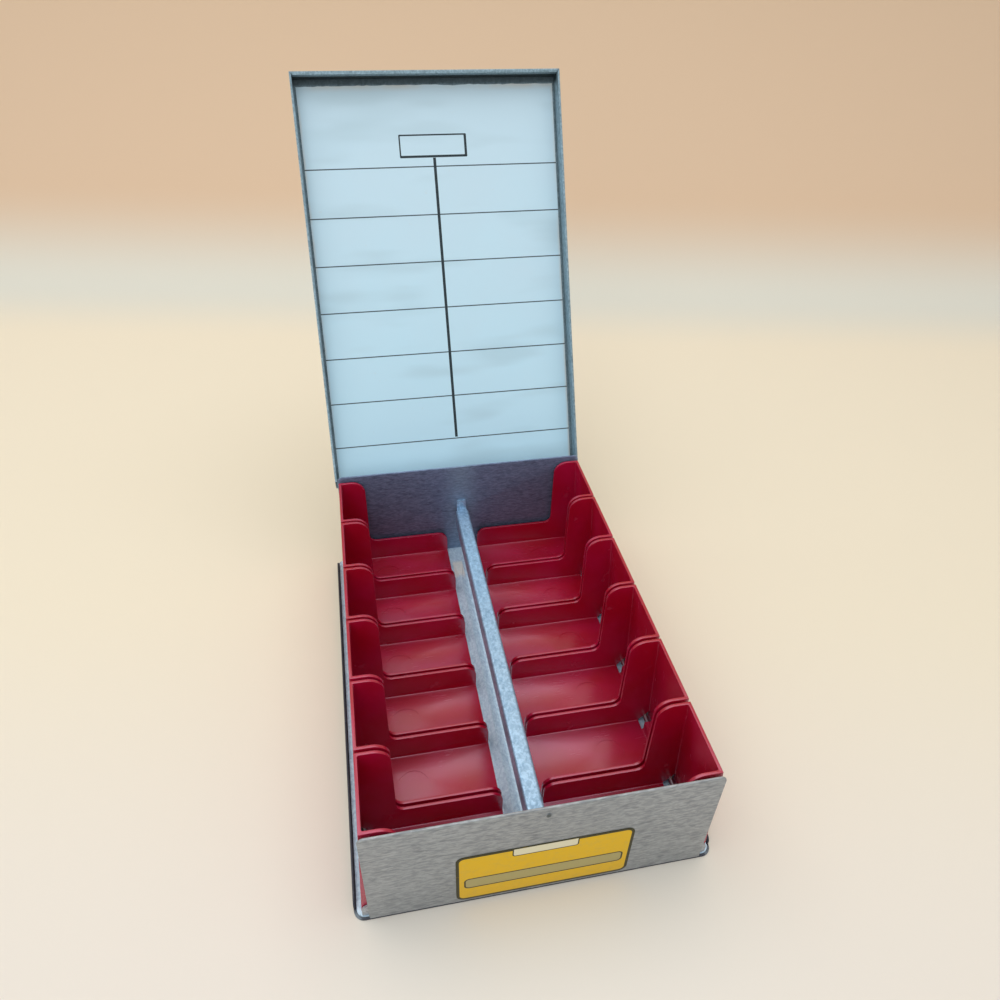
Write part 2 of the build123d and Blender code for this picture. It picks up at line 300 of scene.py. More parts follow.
    def split_faces(self) -> "Workpiece":
        """Splits every face into triangles, so that the next cut meets flat faces only."""
        return self.whole().work(bpy.ops.mesh.quads_convert_to_tris)

    def shade(self, angle: float = 32.0) -> "Workpiece":
        """Shades the piece smooth up to an angle in degrees."""
        self.take()
        bpy.ops.object.shade_smooth_by_angle(angle=radians(angle))
        return self

    def twin(self, name: str, shift: Place, side: Side = Side.RIGHT) -> "Workpiece":
        """Copies the piece with its own mesh.

        Args:
            name: the copy's name.
            shift: how far the copy lies from this one.
            side: LEFT mirrors the copy across the middle of the file.

        Returns:
            The copy.
        """
        obj = self.obj.copy()
        obj.data = self.obj.data.copy()
        obj.name = obj.data.name = name
        bpy.context.scene.collection.objects.link(obj)
        obj.location = Vector(shift) * MM
        obj.scale.x = side.value
        copy = Workpiece(obj).settle()
        return copy.true_up() if side is Side.LEFT else copy

    def swing(self, axis_at: Place, angle: float) -> "Workpiece":
        """Turns a piece drawn about the X axis to its angle in degrees, about an axis elsewhere."""
        self.obj.rotation_euler = (radians(angle), 0, 0)
        self.obj.location = Vector(axis_at) * MM
        return self.settle()

    def drop(self) -> None:
        """Takes the piece off the bench for good."""
        bpy.data.objects.remove(self.obj, do_unlink=True)

    def hand_over(self, body: str, node: str, slot: str, material: bpy.types.Material) -> None:
        """Dresses the finished piece and puts it in the place of its CAD node.

        Args:
            body: the CAD body that carries it.
            node: the CAD node that it stands for.
            slot: the record's material slot; not used.
            material: its finish.
        """
        self.obj.data.materials.clear()
        self.obj.data.materials.append(material)
        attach(self.obj, body)
        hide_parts(node)
        log.info("%s: %d faces, for %s on %s", self.obj.name, len(self.obj.data.polygons), node, body)


def finish_node(node: str, material: bpy.types.Material) -> None:
    """Gives a CAD node that keeps its own shape its finish."""
    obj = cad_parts[node]
    if not obj.material_slots:
        obj.data.materials.append(material)
    for material_slot in obj.material_slots:
        material_slot.material = material
    log.info("%s: CAD shape kept, finish %s", node, material.name)


# ---------------------------------------------------------------- finishes


class Wire:
    """An output of a shader node that Python's operators can work on."""

    def __init__(self, recipe: "Recipe", socket: bpy.types.NodeSocket) -> None:
        """Wraps one output socket of a recipe's node."""
        self.recipe = recipe
        self.socket = socket

    def math(self, operation: str, *others: "Value", first: bool = True) -> "Wire":
        """Adds a Math node, with this wire before or after its other inputs."""
        inputs = (self, *others) if first else (*others, self)
        return self.recipe.node("ShaderNodeMath", {"operation": operation}, dict(enumerate(inputs)))

    def __add__(self, other: "Value") -> "Wire":
        """Sum."""
        return self.math("ADD", other)

    def __sub__(self, other: "Value") -> "Wire":
        """Difference."""
        return self.math("SUBTRACT", other)

    def __rsub__(self, other: "Value") -> "Wire":
        """Difference from a number."""
        return self.math("SUBTRACT", other, first=False)

    def __mul__(self, other: "Value") -> "Wire":
        """Product."""
        return self.math("MULTIPLY", other)

    def __truediv__(self, other: "Value") -> "Wire":
        """Quotient."""
        return self.math("DIVIDE", other)

    def __abs__(self) -> "Wire":
        """Size without sign."""
        return self.math("ABSOLUTE")

    __radd__ = __add__
    __rmul__ = __mul__

    def at_least(self, other: "Value") -> "Wire":
        """The larger of this and another value."""
        return self.math("MAXIMUM", other)

    def at_most(self, other: "Value") -> "Wire":
        """The smaller of this and another value."""
        return self.math("MINIMUM", other)

    def rise(self, low: float, high: float) -> "Wire":
        """0 below low, 1 above high and a soft step between."""
        return self.recipe.node("ShaderNodeMapRange", {"interpolation_type": "SMOOTHSTEP"},
                                {"Value": self, "From Min": low, "From Max": high})

    def below(self, edge: float, soft: float = 0.05) -> "Wire":
        """1 below an edge and 0 above it."""
        return 1 - self.rise(edge - soft, edge + soft)

    def between(self, low: float, high: float, soft: float = 0.05) -> "Wire":
        """1 from low to high and 0 outside."""
        return abs(self - (low + high) / 2).below((high - low) / 2, soft)


Value = Union[Wire, float]
Paint = Union[Wire, Colour]


class Recipe:
    """One material's nodes, written down as expressions."""

    def __init__(self, name: str, world: bpy.types.World | None = None) -> None:
        """Starts an empty material, or the world's own nodes."""
        self.material = world or bpy.data.materials.new(name)
        self.material.use_nodes = True
        self.tree = self.material.node_tree
        self.tree.nodes.clear()

    def node(self, kind: str, settings: dict[str, object], inputs: dict, output: int | str = 0) -> Wire:
        """Adds any node.

        Args:
            kind: the node's type.
            settings: its own settings, which are set first.
            inputs: values or wires by socket name or number.
            output: which output to return.

        Returns:
            That output.
        """
        made = self.tree.nodes.new(kind)
        for name, value in settings.items():
            setattr(made, name, value)
        for name, value in inputs.items():
            if isinstance(value, Wire):
                self.tree.links.new(value.socket, made.inputs[name])
            else:
                made.inputs[name].default_value = value
        return Wire(self, made.outputs[output])

    def place(self, origin: Place = (0, 0, 0), tilt: float = 0.0, unit: Place = (1, 1, 1)) -> Wire:
        """Where a point lies from an origin, in a frame tilted about X, counted in units of length."""
        here = self.node("ShaderNodeTexCoord", {}, {}, "Object")
        return self.node("ShaderNodeMapping", {"vector_type": "TEXTURE"}, {
            "Vector": here, "Location": Vector(origin) * MM, "Rotation": (radians(tilt), 0, 0),
            "Scale": Vector(unit) * MM})

    def axes(self, place: Wire) -> tuple[Wire, Wire, Wire]:
        """Splits a place into its X, Y and Z."""
        split = self.node("ShaderNodeSeparateXYZ", {}, {0: place})
        outputs = split.socket.node.outputs
        return Wire(self, outputs[0]), Wire(self, outputs[1]), Wire(self, outputs[2])

    def noise(self, place: Wire, size: float, detail: float = 2.0, roughness: float = 0.5,
              output: int = 0) -> Wire:
        """Cloudy noise whose lumps are about a size across, in units of the place."""
        return self.node("ShaderNodeTexNoise", {}, {
            "Vector": place, "Scale": 1 / size, "Detail": detail, "Roughness": roughness}, output)

    def cells(self, place: Wire, size: float) -> Wire:
        """Rounded cells about a size across, 0 at their middles."""
        return self.node("ShaderNodeTexVoronoi", {"feature": "SMOOTH_F1"},
                         {"Vector": place, "Scale": 1 / size}, "Distance")

    def stir(self, place: Wire, size: float, amount: float) -> Wire:
        """Shifts a place about by noise, so that a regular pattern wanders."""
        swirl = self.noise(place, size, 2.0, 0.5, 1)
        return self.node("ShaderNodeVectorMath", {"operation": "MULTIPLY_ADD"},
                         {0: swirl, 1: (amount,) * 3, 2: place})

    def mix(self, mask: Value, ground: Paint, over: Paint) -> Wire:
        """Lays one colour over another where the mask is 1."""
        return self.node("ShaderNodeMix", {"data_type": "RGBA"}, {0: mask, 6: ground, 7: over}, 2)

    def bump(self, height: Wire, relief: float, strength: float = 1.0) -> Wire:
        """A normal from a height of 0 to 1 that stands for a relief in millimetres."""
        return self.node("ShaderNodeBump", {}, {
            "Height": height, "Distance": relief * MM, "Strength": strength})

    def layers(self, ground: Paint, *coats: tuple[Value, Paint]) -> Paint:
        """Lays one coat after another, each a mask and a colour, over the ground."""
        for mask, over in coats:
            ground = self.mix(mask, ground, over)
        return ground

    def plate(self, x: Wire, y: Wire, low: Spot, high: Spot, corner: float) -> Wire:
        """Distance to the edge of a rectangle with rounded corners.

        Args:
            x: place across.
            y: place up.
            low: lowest corner.
            high: highest corner.
            corner: radius of its corners.

        Returns:
            The distance in millimetres, below 0 inside.
        """
        across = abs(x - (low[0] + high[0]) / 2) - ((high[0] - low[0]) / 2 - corner)
        up = abs(y - (low[1] + high[1]) / 2) - ((high[1] - low[1]) / 2 - corner)
        out_x, out_y = across.at_least(0.0), up.at_least(0.0)
        outside = (out_x * out_x + out_y * out_y).math("SQRT")
        return outside + across.at_least(up).at_most(0.0) - corner

    def finish(self, **sockets: object) -> bpy.types.Material:
        """Ends the recipe with a Principled shader.

        Args:
            sockets: values or wires, with spaces of the socket's name as underscores.

        Returns:
            The material.
        """
        shader = self.node("ShaderNodeBsdfPrincipled", {},
                           {name.replace("_", " "): value for name, value in sockets.items()})
        self.deliver(shader, "ShaderNodeOutputMaterial")
        return self.material

    def deliver(self, shader: Wire, output: str) -> None:
        """Joins the shader to an output node of a type."""
        end = self.tree.nodes.new(output)
        self.tree.links.new(shader.socket, end.inputs["Surface"])


class Mark(Enum):
    """Where a grey sheet shows painted shade or painted light over its plain enamel."""

    NONE = 0
    BRIGHT_BEAD_ENDS = 1
    DARK_FOLD = 2
    DIRTY_DIMPLE = 3
    PALE_MIDDLE = 4


@dataclass(frozen=True)
class Hammertone:
    """Stove enamel with aluminium flake, whose skin is dimpled like beaten metal."""

    name: str
    shade: Colour
    fleck: Colour
    cell: Place
    relief: float = 0.05
    roughness: float = 0.42
    metallic: float = 0.55
    origin: Place = (0.0, 0.0, 0.0)
    tilt: float = 0.0
    mark: Mark = Mark.NONE
    # painted shade: the dark colour laid in the lid's front fold and over the front panel's dimple
    painted_shade: Colour = (0.025, 0.04, 0.045, 1.0)
    painted_glint: Colour = (0.86, 0.86, 0.80, 1.0)
    painted_sheen: Colour = (0.32, 0.48, 0.60, 1.0)
    cloud: float = 14.0
    bead_end: Spot = (70.0, 83.0)
    bead_width: Spot = (1.6, 6.9)
    bead_height: Spot = (1.7, 2.1)
    front_fold: float = -190.0
    front_fold_height: Spot = (2.9, 8.6)
    side_fold: Spot = (61.6, 63.1)
    side_fold_height: Spot = (7.6, 8.6)
    dimple_height: float = 50.8
    dimple_edge: float = 1.6
    painted_sheen_half_width: float = 6.0
    inner_face: float = 94.5

    def material(self) -> bpy.types.Material:
        """Mixes the enamel."""
        recipe = Recipe(self.name)
        skin = recipe.place(self.origin, self.tilt, self.cell)
        wandering = recipe.stir(skin, 1.6, 1.3)
        dimples = recipe.cells(wandering, 1.0)
        streaks = recipe.noise(recipe.stir(skin, 0.9, 0.9), 0.6, 3.0, 0.6)
        clouds = recipe.noise(recipe.place(self.origin, self.tilt, (self.cloud,) * 3), 1.0, 3.0)
        rim = dimples.rise(0.35, 0.7)
        bright = (streaks.rise(0.38, 0.66) * 0.55 + (1 - rim) * 0.3 + 0.1
                  + (clouds - 0.5) * 0.35).at_least(0.0).at_most(1.0)
        colour = recipe.mix(bright, self.shade, self.fleck)
        x, y, z = recipe.axes(recipe.place(self.origin, self.tilt))
        if self.mark is Mark.BRIGHT_BEAD_ENDS:
            # painted highlight: near-white light laid on the floor beads' flanks at both of their ends
            ends = (abs(y).between(*self.bead_end, 2.5) * abs(x).between(*self.bead_width, 0.3)
                    * z.rise(*self.bead_height))
            colour = recipe.mix(ends * (0.55 + streaks * 0.6).at_most(1.0), colour, self.painted_glint)
        if self.mark is Mark.DARK_FOLD:
            # painted shade in the lid's front fold and along the creases of its side rims, where the rims
            # shade the panel
            fold = y.below(self.front_fold, 1.2) * z.between(*self.front_fold_height, 0.3)
            sides = abs(x).between(*self.side_fold, 0.4) * z.between(*self.side_fold_height, 0.4)
            colour = recipe.mix((fold * 0.9).at_least(sides * 0.6), colour, self.painted_shade)
        if self.mark is Mark.DIRTY_DIMPLE:
            # painted shade: a dark spot over the catch dimple, standing for the shadow under the bump
            across, over = x * 1.5, z - self.dimple_height
            spot = (across * across + over * over).below(self.dimple_edge, 1.2)
            colour = recipe.mix(spot * 0.8, colour, self.painted_shade)
        if self.mark is Mark.PALE_MIDDLE:
            # painted reflection: a lighter bluish band down the middle of the back wall, around the rail's
            # tab
            half = self.painted_sheen_half_width
            inside = abs(x).below(half, half) * y.below(self.inner_face)
            colour = recipe.mix(inside * (0.15 + streaks * 0.5), colour, self.painted_sheen)
        height = streaks * 0.5 - rim * 0.5
        return recipe.finish(
            Base_Color=colour, Metallic=self.metallic,
            Roughness=self.roughness + (1 - bright) * 0.14,
            Normal=recipe.bump(height, self.relief))


@dataclass(frozen=True)
class Crimson:
    """Moulded polystyrene in crimson: glossy, with a faint flow of colour and fine scuffs."""

    name: str = "crimson polystyrene"
    body: Colour = (0.36, 0.001, 0.014, 1.0)
    pale: Colour = (0.46, 0.005, 0.060, 1.0)
    scuff: Colour = (0.55, 0.07, 0.13, 1.0)

    def material(self) -> bpy.types.Material:
        """Mixes the plastic."""
        recipe = Recipe(self.name)
        place = recipe.place()
        flow = recipe.noise(recipe.place(unit=(26.0, 15.0, 30.0)), 1.0, 3.0)
        scratches = recipe.noise(recipe.stir(recipe.place(unit=(6.0, 0.3, 6.0)), 4.0, 2.0), 1.0, 1.0)
        rubbed = recipe.noise(place, 11.0, 2.0).rise(0.52, 0.75)
        scuffs = scratches.rise(0.62, 0.78) * rubbed * 0.45
        colour = recipe.mix(scuffs, recipe.mix(flow.rise(0.35, 0.7) * 0.5, self.body, self.pale), self.scuff)
        skin = recipe.noise(place, 1.6, 2.0) * 0.3 + recipe.noise(place, 12.0, 1.0)
        return recipe.finish(
            Base_Color=colour, IOR=1.59, Specular_IOR_Level=0.9, Specular_Tint=(1.0, 0.80, 1.0, 1.0),
            Roughness=0.2 + flow * 0.1 + scuffs * 0.35,
            Normal=recipe.bump(skin, 0.03, 0.6))


@dataclass(frozen=True)
class Enamel:
    """Smooth dark stove enamel, a little worn."""

    name: str
    coat: Colour
    worn: Colour
    corner_x: Spot = (63.0, 67.0)
    corner_y: Spot = (90.5, 93.5)

    def material(self) -> bpy.types.Material:
        """Mixes the enamel."""
        recipe = Recipe(self.name)
        place = recipe.place()
        x, y, _ = recipe.axes(place)
        corner = abs(x).rise(*self.corner_x) * abs(y).rise(*self.corner_y)
        wear = (recipe.noise(place, 2.2, 5.0, 0.68) + corner * 0.25).rise(0.6, 0.78)
        wear = (wear * 0.6).at_least(wear * corner)
        skin = recipe.noise(place, 0.9, 3.0)
        return recipe.finish(
            Base_Color=recipe.mix(wear, self.coat, self.worn),
            Roughness=0.34 + wear * 0.3, Normal=recipe.bump(skin, 0.02))


@dataclass(frozen=True)
class Plated:
    """Zinc-plated steel wire with drawing lines along it."""

    name: str
    drawn_along: Place
    steel: Colour = (0.56, 0.57, 0.58, 1.0)
    dull: Colour = (0.34, 0.34, 0.35, 1.0)

    def material(self) -> bpy.types.Material:
        """Mixes the plating."""
        recipe = Recipe(self.name)
        lines = recipe.noise(recipe.place(unit=self.drawn_along), 1.0, 3.0)
        bloom = recipe.noise(recipe.place(), 3.5, 4.0).rise(0.45, 0.75)
        return recipe.finish(
            Base_Color=recipe.mix(bloom * 0.6, self.steel, self.dull), Metallic=1.0,
            Roughness=0.24 + bloom * 0.2 + lines * 0.08, Normal=recipe.bump(lines, 0.01))


@dataclass(frozen=True)
class RuledCard:
    """Pale index card, ruled into rows and two columns under an empty heading box."""

    hinge: Place
    tilt: float
    name: str = "ruled card"
    paper_top: Colour = (0.575, 0.755, 0.85, 1.0)
    paper_foot: Colour = (0.555, 0.80, 0.915, 1.0)
    shadow: Colour = (0.36, 0.50, 0.55, 1.0)
    ink: Colour = (0.001, 0.008, 0.012, 1.0)
    stain: Colour = (0.62, 0.55, 0.45, 1.0)
    first_rule: float = 18.91
    row: float = 22.38
    rows: int = 6
    rule_half_width: float = 0.28
    middle_rule: Spot = (0.05, 1.45)
    heading_outside: Plate = ((-16.0, 157.3), (17.1, 168.0), 0.5)
    heading_inside: Plate = ((-15.3, 158.4), (15.9, 167.3), 0.3)
    length: float = 190.0
    aged_side: Spot = (60.4, 62.0)
    aged_top: Spot = (186.5, 190.5)

    def material(self) -> bpy.types.Material:
        """Prints the card."""
        recipe = Recipe(self.name)
        local = recipe.place(self.hinge, self.tilt)
        x, y, _ = recipe.axes(local)
        up = 0 - y
        last = self.first_rule + self.row * self.rows
        to_rule = abs((up - (self.first_rule - self.row / 2)).math("MODULO", self.row) - self.row / 2)
        rules = to_rule.below(self.rule_half_width) * up.between(self.first_rule - 1, last + 1)
        middle = x.between(*self.middle_rule) * up.between(self.first_rule + 0.7, last + 4.0)
        outside, inside = (recipe.plate(x, up, *plate).below(0.0)
                           for plate in (self.heading_outside, self.heading_inside))
        box = outside * (1 - inside)
        fade = 0.94 + 0.06 * recipe.noise(local, 1.3, 3.0)
        ink = (rules * 0.92).at_least(middle).at_least(box) * fade
        fibre = recipe.noise(recipe.place(self.hinge, self.tilt, (0.5, 0.8, 0.5)), 1.0, 4.0)
        clouds = recipe.noise(local, 38.0, 4.0, 0.6)
        top = (up / self.length + (clouds - 0.5) * 0.5).rise(0.1, 0.95)
        edge = abs(x).rise(*self.aged_side).at_least(up.rise(*self.aged_top)) * clouds.rise(0.3, 0.7)
        spots = recipe.noise(local, 5.0, 5.0, 0.7).rise(0.66, 0.8) * 0.25
        folds = recipe.noise(recipe.place(self.hinge, self.tilt, (70.0, 16.0, 70.0)), 1.0, 2.0)
        colour = recipe.layers(
            self.paper_foot, (top, self.paper_top), (folds.rise(0.5, 0.72) * 0.3, self.shadow),
            ((edge * 0.75).at_least(spots), self.stain), (ink, self.ink))
        return recipe.finish(
            Base_Color=colour, Roughness=0.62 + fibre * 0.12 - ink * 0.12,
            Specular_IOR_Level=0.35, Normal=recipe.bump(fibre, 0.03, 0.5))


@dataclass(frozen=True)
class PrintedLabel:
    """Yellow label with a dark olive outline, a pale tab at its top and a bare window strip."""

    name: str = "yellow label"
    field_colour: Colour = (0.76, 0.455, 0.008, 1.0)
    olive: Colour = (0.045, 0.04, 0.012, 1.0)
    cream: Colour = (0.74, 0.68, 0.47, 1.0)
    window: Colour = (0.42, 0.35, 0.14, 1.0)
    tab: Plate = ((-11.1, 28.1), (11.8, 33.4), 0.8)
    strip: Plate = ((-28.2, 10.8), (29.6, 17.1), 1.7)
    outline: Spot = (-1.2, -1.05)
    line: float = 0.45
    crisp: float = 0.06

    def material(self) -> bpy.types.Material:
        """Prints the label."""
        recipe = Recipe(self.name)
        local = recipe.place()
        x, _, z = recipe.axes(local)
        rim, tab, strip = (recipe.plate(x, z, *plate) for plate in (LABEL, self.tab, self.strip))
        rubbed = recipe.noise(local, 2.4, 5.0, 0.65)
        lines = rim.rise(*self.outline).at_least(abs(strip).below(0.3, self.crisp))
        worn = rubbed.rise(0.6, 0.78) * 0.3
        colour = recipe.layers(
            self.field_colour, (rubbed.rise(0.45, 0.8) * 0.25, self.window),
            (strip.below(0.0), self.window), (lines, self.olive),
            (tab.below(self.line, self.crisp), self.olive),
            (tab.below(0.0, self.crisp) * rim.below(-0.5), self.cream),
            (worn * lines, self.field_colour))
        height = lines.at_least(tab.below(self.line)) * 0.5 + recipe.noise(local, 0.7, 2.0) * 0.2
        return recipe.finish(
            Base_Color=colour, Roughness=0.42 + rubbed * 0.18, Specular_IOR_Level=0.3,
            Normal=recipe.bump(height, 0.03))


@dataclass(frozen=True)
class PaperSweep:
    """The pale paper that the file stands on, peach at the back and cream in front."""

    name: str = "paper sweep"
    near: Colour = (0.80, 0.745, 0.665, 1.0)
    cream: Colour = (0.825, 0.75, 0.595, 1.0)
    pale: Colour = (0.70, 0.70, 0.62, 1.0)
    peach: Colour = (0.68, 0.50, 0.345, 1.0)
    heading: Place = (0.192, 0.981, 0.0)
    to_cream: Spot = (-150.0, 60.0)
    to_pale: Spot = (335.0, 430.0)
    to_peach: Spot = (425.0, 610.0)

    def material(self) -> bpy.types.Material:
        """Tints the paper by how far back it lies."""
        recipe = Recipe(self.name)
        here = recipe.place()
        back = recipe.node("ShaderNodeVectorMath", {"operation": "DOT_PRODUCT"},
                           {0: here, 1: self.heading}, "Value")
        _, _, z = recipe.axes(here)
        reach = back + z
        tint = recipe.layers(
            self.near, (reach.rise(*self.to_cream), self.cream), (reach.rise(*self.to_pale), self.pale),
            (reach.rise(*self.to_peach), self.peach))
        grain = recipe.noise(here, 1.5, 3.0)
        return recipe.finish(Base_Color=tint, Roughness=0.8, Specular_IOR_Level=0.2,
                             Normal=recipe.bump(grain, 0.02))


# ---------------------------------------------------------------- the case


@dataclass
class Case:
    """The sheet-metal box: base pan, floor, two panels and the centre rail."""

    half_width: float = 62.5
    half_length: float = 95.0
    sheet: float = 0.9
    front_top: float = 55.0
    back_top: float = 56.7
    corner: float = 2.5
    panel_foot: float = 0.8
    panel_edge: float = 0.28
    dimple_at: Place = (0.0, -95.0, 50.8)
    dimple_radius: float = 1.6
    dimple_height: float = 0.3
    dimple_taper: float = 0.62
    dimple_inset: float = 0.3
    pan_half_width: float = 68.0
    pan_sheet: float = 0.8
    pan_corner: float = 4.0
    rim_half_length: float = 91.0
    rim_foot: float = 0.3
    rim_top: float = 4.5
    rim_corner: float = 2.5
    rail_half_width: float = 3.4
    rail_foot: float = 21.5
    rail_top: float = 30.5
    rail_bend: float = 1.2
    rail_end_gap: float = 3.0
    weld: float = 0.3
    tongue_bend: float = 0.7
    tab_half_width: float = 2.5
    tab_top: float = 35.3
    tab_corner: float = 0.8

    def panel(self, name: str, end: End, top: float) -> Workpiece:
        """Cuts one end panel.

        Args:
            name: the piece's name.
            end: the end that it closes.
            top: its top edge.

        Returns:
            The panel, with rounded top corners and broken edges.
        """
        low_y, high_y = span(end, self.half_length - self.sheet, self.half_length)
        panel = Workpiece.block(name, (-self.half_width, low_y, self.panel_foot),
                                (self.half_width, high_y, top))
        panel.edges(lambda a, b: abs(a.x - b.x) < NEAR and min(a.z, b.z) > top - NEAR
                    and abs(a.x) > self.half_width - NEAR).round(self.corner, 8)
        return panel.soften(self.panel_edge, 3)

    def front_panel(self) -> Workpiece:
        """Makes the front panel with the dimple that catches the lid."""
        panel = self.panel("front_panel_pressed", End.FRONT, self.front_top)
        dimple = Workpiece.bar("dimple", self.dimple_radius, self.dimple_at, 2 * self.dimple_height,
                               Along.Y, 24)
        dimple.faces(frontward).resize((self.dimple_taper, 1, self.dimple_taper), self.dimple_at)
        dimple.faces(frontward).work(bpy.ops.mesh.inset, thickness=self.dimple_inset * MM)
        return panel.carve(dimple, Cut.ONTO).shade()

    def back_wall(self) -> Workpiece:
        """Makes the plain back wall."""
        return self.panel("back_wall_sheet", End.BACK, self.back_top).shade()

    def base_pan(self) -> Workpiece:
        """Makes the dark pan, with a rim folded up along each side."""
        w, l = self.pan_half_width, self.half_length
        pan = Workpiece.block("base_pan_folded", (-w, -l, 0), (w, l, self.pan_sheet))
        pan.edges(lambda a, b: abs(a.z - b.z) > 0.5).round(self.pan_corner, 6)
        pan.soften(0.2, 2)
        for side in Side:
            low_x, high_x = span(side, w - self.pan_sheet, w)
            rim = Workpiece.block("rim", (low_x, -self.rim_half_length, self.rim_foot),
                                  (high_x, self.rim_half_length, self.rim_top))
            rim.edges(lambda a, b: min(a.z, b.z) > self.rim_top - NEAR and abs(a.x - b.x) > 0.5)
            rim.round(self.rim_corner, 6).soften(0.22, 3)
            pan.join(rim)
        return pan.shade()

    def centre_rail(self) -> Workpiece:
        """Folds the centre rail: a channel open below, with a tongue turned up at each end."""
        w, l = self.rail_half_width, self.half_length - self.sheet - self.rail_end_gap
        rail = Workpiece.block("centre_rail_folded", (-w, -l, self.rail_foot), (w, l, self.rail_top))
        rail.faces(lambda _, facing: facing.z < -SQUARE_ON or abs(facing.y) > SQUARE_ON)
        rail.work(bpy.ops.mesh.delete, type="FACE")
        rail.edges(lambda a, b: min(a.z, b.z) > self.rail_top - NEAR and abs(a.y - b.y) > 1)
        rail.round(self.rail_bend, 5)
        rail.modify("SOLIDIFY", thickness=self.sheet * MM, offset=-1, use_even_offset=True)
        for end in End:
            rail.carve(self.tongue(end, l - self.weld), Cut.ONTO)
        return rail.true_up().soften(0.12, 2, 60).shade()

    def tongue(self, end: End, start: float) -> Workpiece:
        """Bends one tongue: on from the rail's top to a panel and up as a tab.

        Args:
            end: the end that it reaches to.
            start: how far from the middle it leaves the rail.

        Returns:
            The tongue.
        """
        w, bottom = self.tab_half_width, self.rail_top - self.sheet
        wall = self.half_length - self.sheet
        tab = wall - self.sheet
        low_y, high_y = span(end, start, wall)
        tongue = Workpiece.block("tongue", (-w, low_y, bottom), (w, high_y, self.rail_top))
        tongue.saw((0, end.value * tab, 0), (0, 1, 0), clear=False)
        tongue.faces(lambda middle, facing: upward(middle, facing) and abs(middle.y) > tab)
        tongue.extrude((0, 0, self.tab_top - self.rail_top))
        tongue.edges(lambda a, b: min(a.z, b.z) > self.tab_top - NEAR and abs(a.y - b.y) > 0.5)
        tongue.round(self.tab_corner, 4)
        tongue.edges(lambda a, b: abs(a.x - b.x) > 1 and max(a.z, b.z) < bottom + NEAR
                     and abs(a.y) > wall - NEAR)
        return tongue.round(self.tongue_bend, 4)

    def build(self) -> None:
        """Builds and dresses the whole case."""
        # the front panel's dimple mark lays painted shade over its catch dimple
        front = Hammertone("grey hammertone, front", (0.22, 0.235, 0.25, 1), (0.42, 0.44, 0.455, 1),
                           (5.0, 1.2, 1.3), 0.05, 0.44, mark=Mark.DIRTY_DIMPLE)
        # painted shade: the back wall has the front panel's grey paint; its darker, bluer colours here stand
        # for the shade inside the box
        back = Hammertone("grey hammertone, back wall", (0.095, 0.125, 0.20, 1), (0.23, 0.30, 0.46, 1),
                          (3.4, 1.0, 1.0), 0.05, 0.42, mark=Mark.PALE_MIDDLE)
        # painted light: the rail has the front panel's grey paint; its lighter, bluer colours here stand for
        # cool light from above falling on its top
        rail = Hammertone("grey hammertone, rail", (0.21, 0.35, 0.50, 1), (0.45, 0.66, 0.87, 1),
                          (2.2, 2.8, 2.2), 0.10, 0.34)
        # painted light: the floor sheet has the front panel's grey paint; its lighter, bluer colours here
        # stand for the light on its beads' lit flanks
        floor = Hammertone("grey hammertone, floor", (0.40, 0.57, 0.72, 1), (0.68, 0.86, 0.98, 1),
                           (1.8, 2.4, 1.8), 0.08, 0.38, 0.2, mark=Mark.BRIGHT_BEAD_ENDS)
        grey = "grey_hammertone"
        self.front_panel().hand_over("case", "front_panel", grey, front.material())
        self.back_wall().hand_over("case", "back_wall", grey, back.material())
        self.centre_rail().hand_over("case", "centre_rail", grey, rail.material())
        finish_node("floor_sheet", floor.material())
        navy = Enamel("navy enamel", (0.012, 0.016, 0.032, 1), (0.20, 0.24, 0.27, 1))
        self.base_pan().hand_over("case", "base_pan", "navy_enamel", navy.material())


@dataclass
class FrontLabel:
    """The label stuck on the front panel."""

    face: float = -95.25
    back: float = -95.0
    broken_edge: float = 0.08

    def build(self) -> None:
        """Cuts the label, rounds its corners and prints it."""
        (left, foot), (right, top), corner = LABEL
        label = Workpiece.block("front_label", (left, self.face, foot), (right, self.back, top))
        label.edges(lambda a, b: abs(a.y - b.y) > NEAR).round(corner, 8)
        label.faces(frontward)
        label.work(bpy.ops.mesh.bevel, offset=self.broken_edge * MM, segments=2, affect="EDGES")
        label.shade().hand_over("case", "label", "yellow_label", PrintedLabel().material())


class Pivots:
    """What the trays and the lid turn on: rods, lugs, hinge leaf and pin."""

    def build(self) -> None:
        """Dresses the CAD nodes, whose shapes are right."""
        wire = Plated("zinc-plated wire, long", (0.25, 30.0, 0.25)).material()
        for side in Side:
            finish_node(f"pivot_rod_{side.name.lower()}", wire)
        finish_node("hinge_pin", Plated("zinc-plated wire, across", (30.0, 0.25, 0.25)).material())
        lug = Hammertone("grey hammertone, lugs", (0.30, 0.32, 0.34, 1), (0.55, 0.58, 0.62, 1),
                         (1.2, 1.2, 1.2), 0.05, 0.4)
        finish_node("pivot_lugs", lug.material())
        leaf = Hammertone("grey hammertone, hinge leaf", (0.11, 0.15, 0.20, 1),
                          (0.26, 0.34, 0.44, 1), (1.9, 1.9, 1.3), 0.05, 0.42)
        finish_node("hinge_leaf", leaf.material())


# ---------------------------------------------------------------- the trays


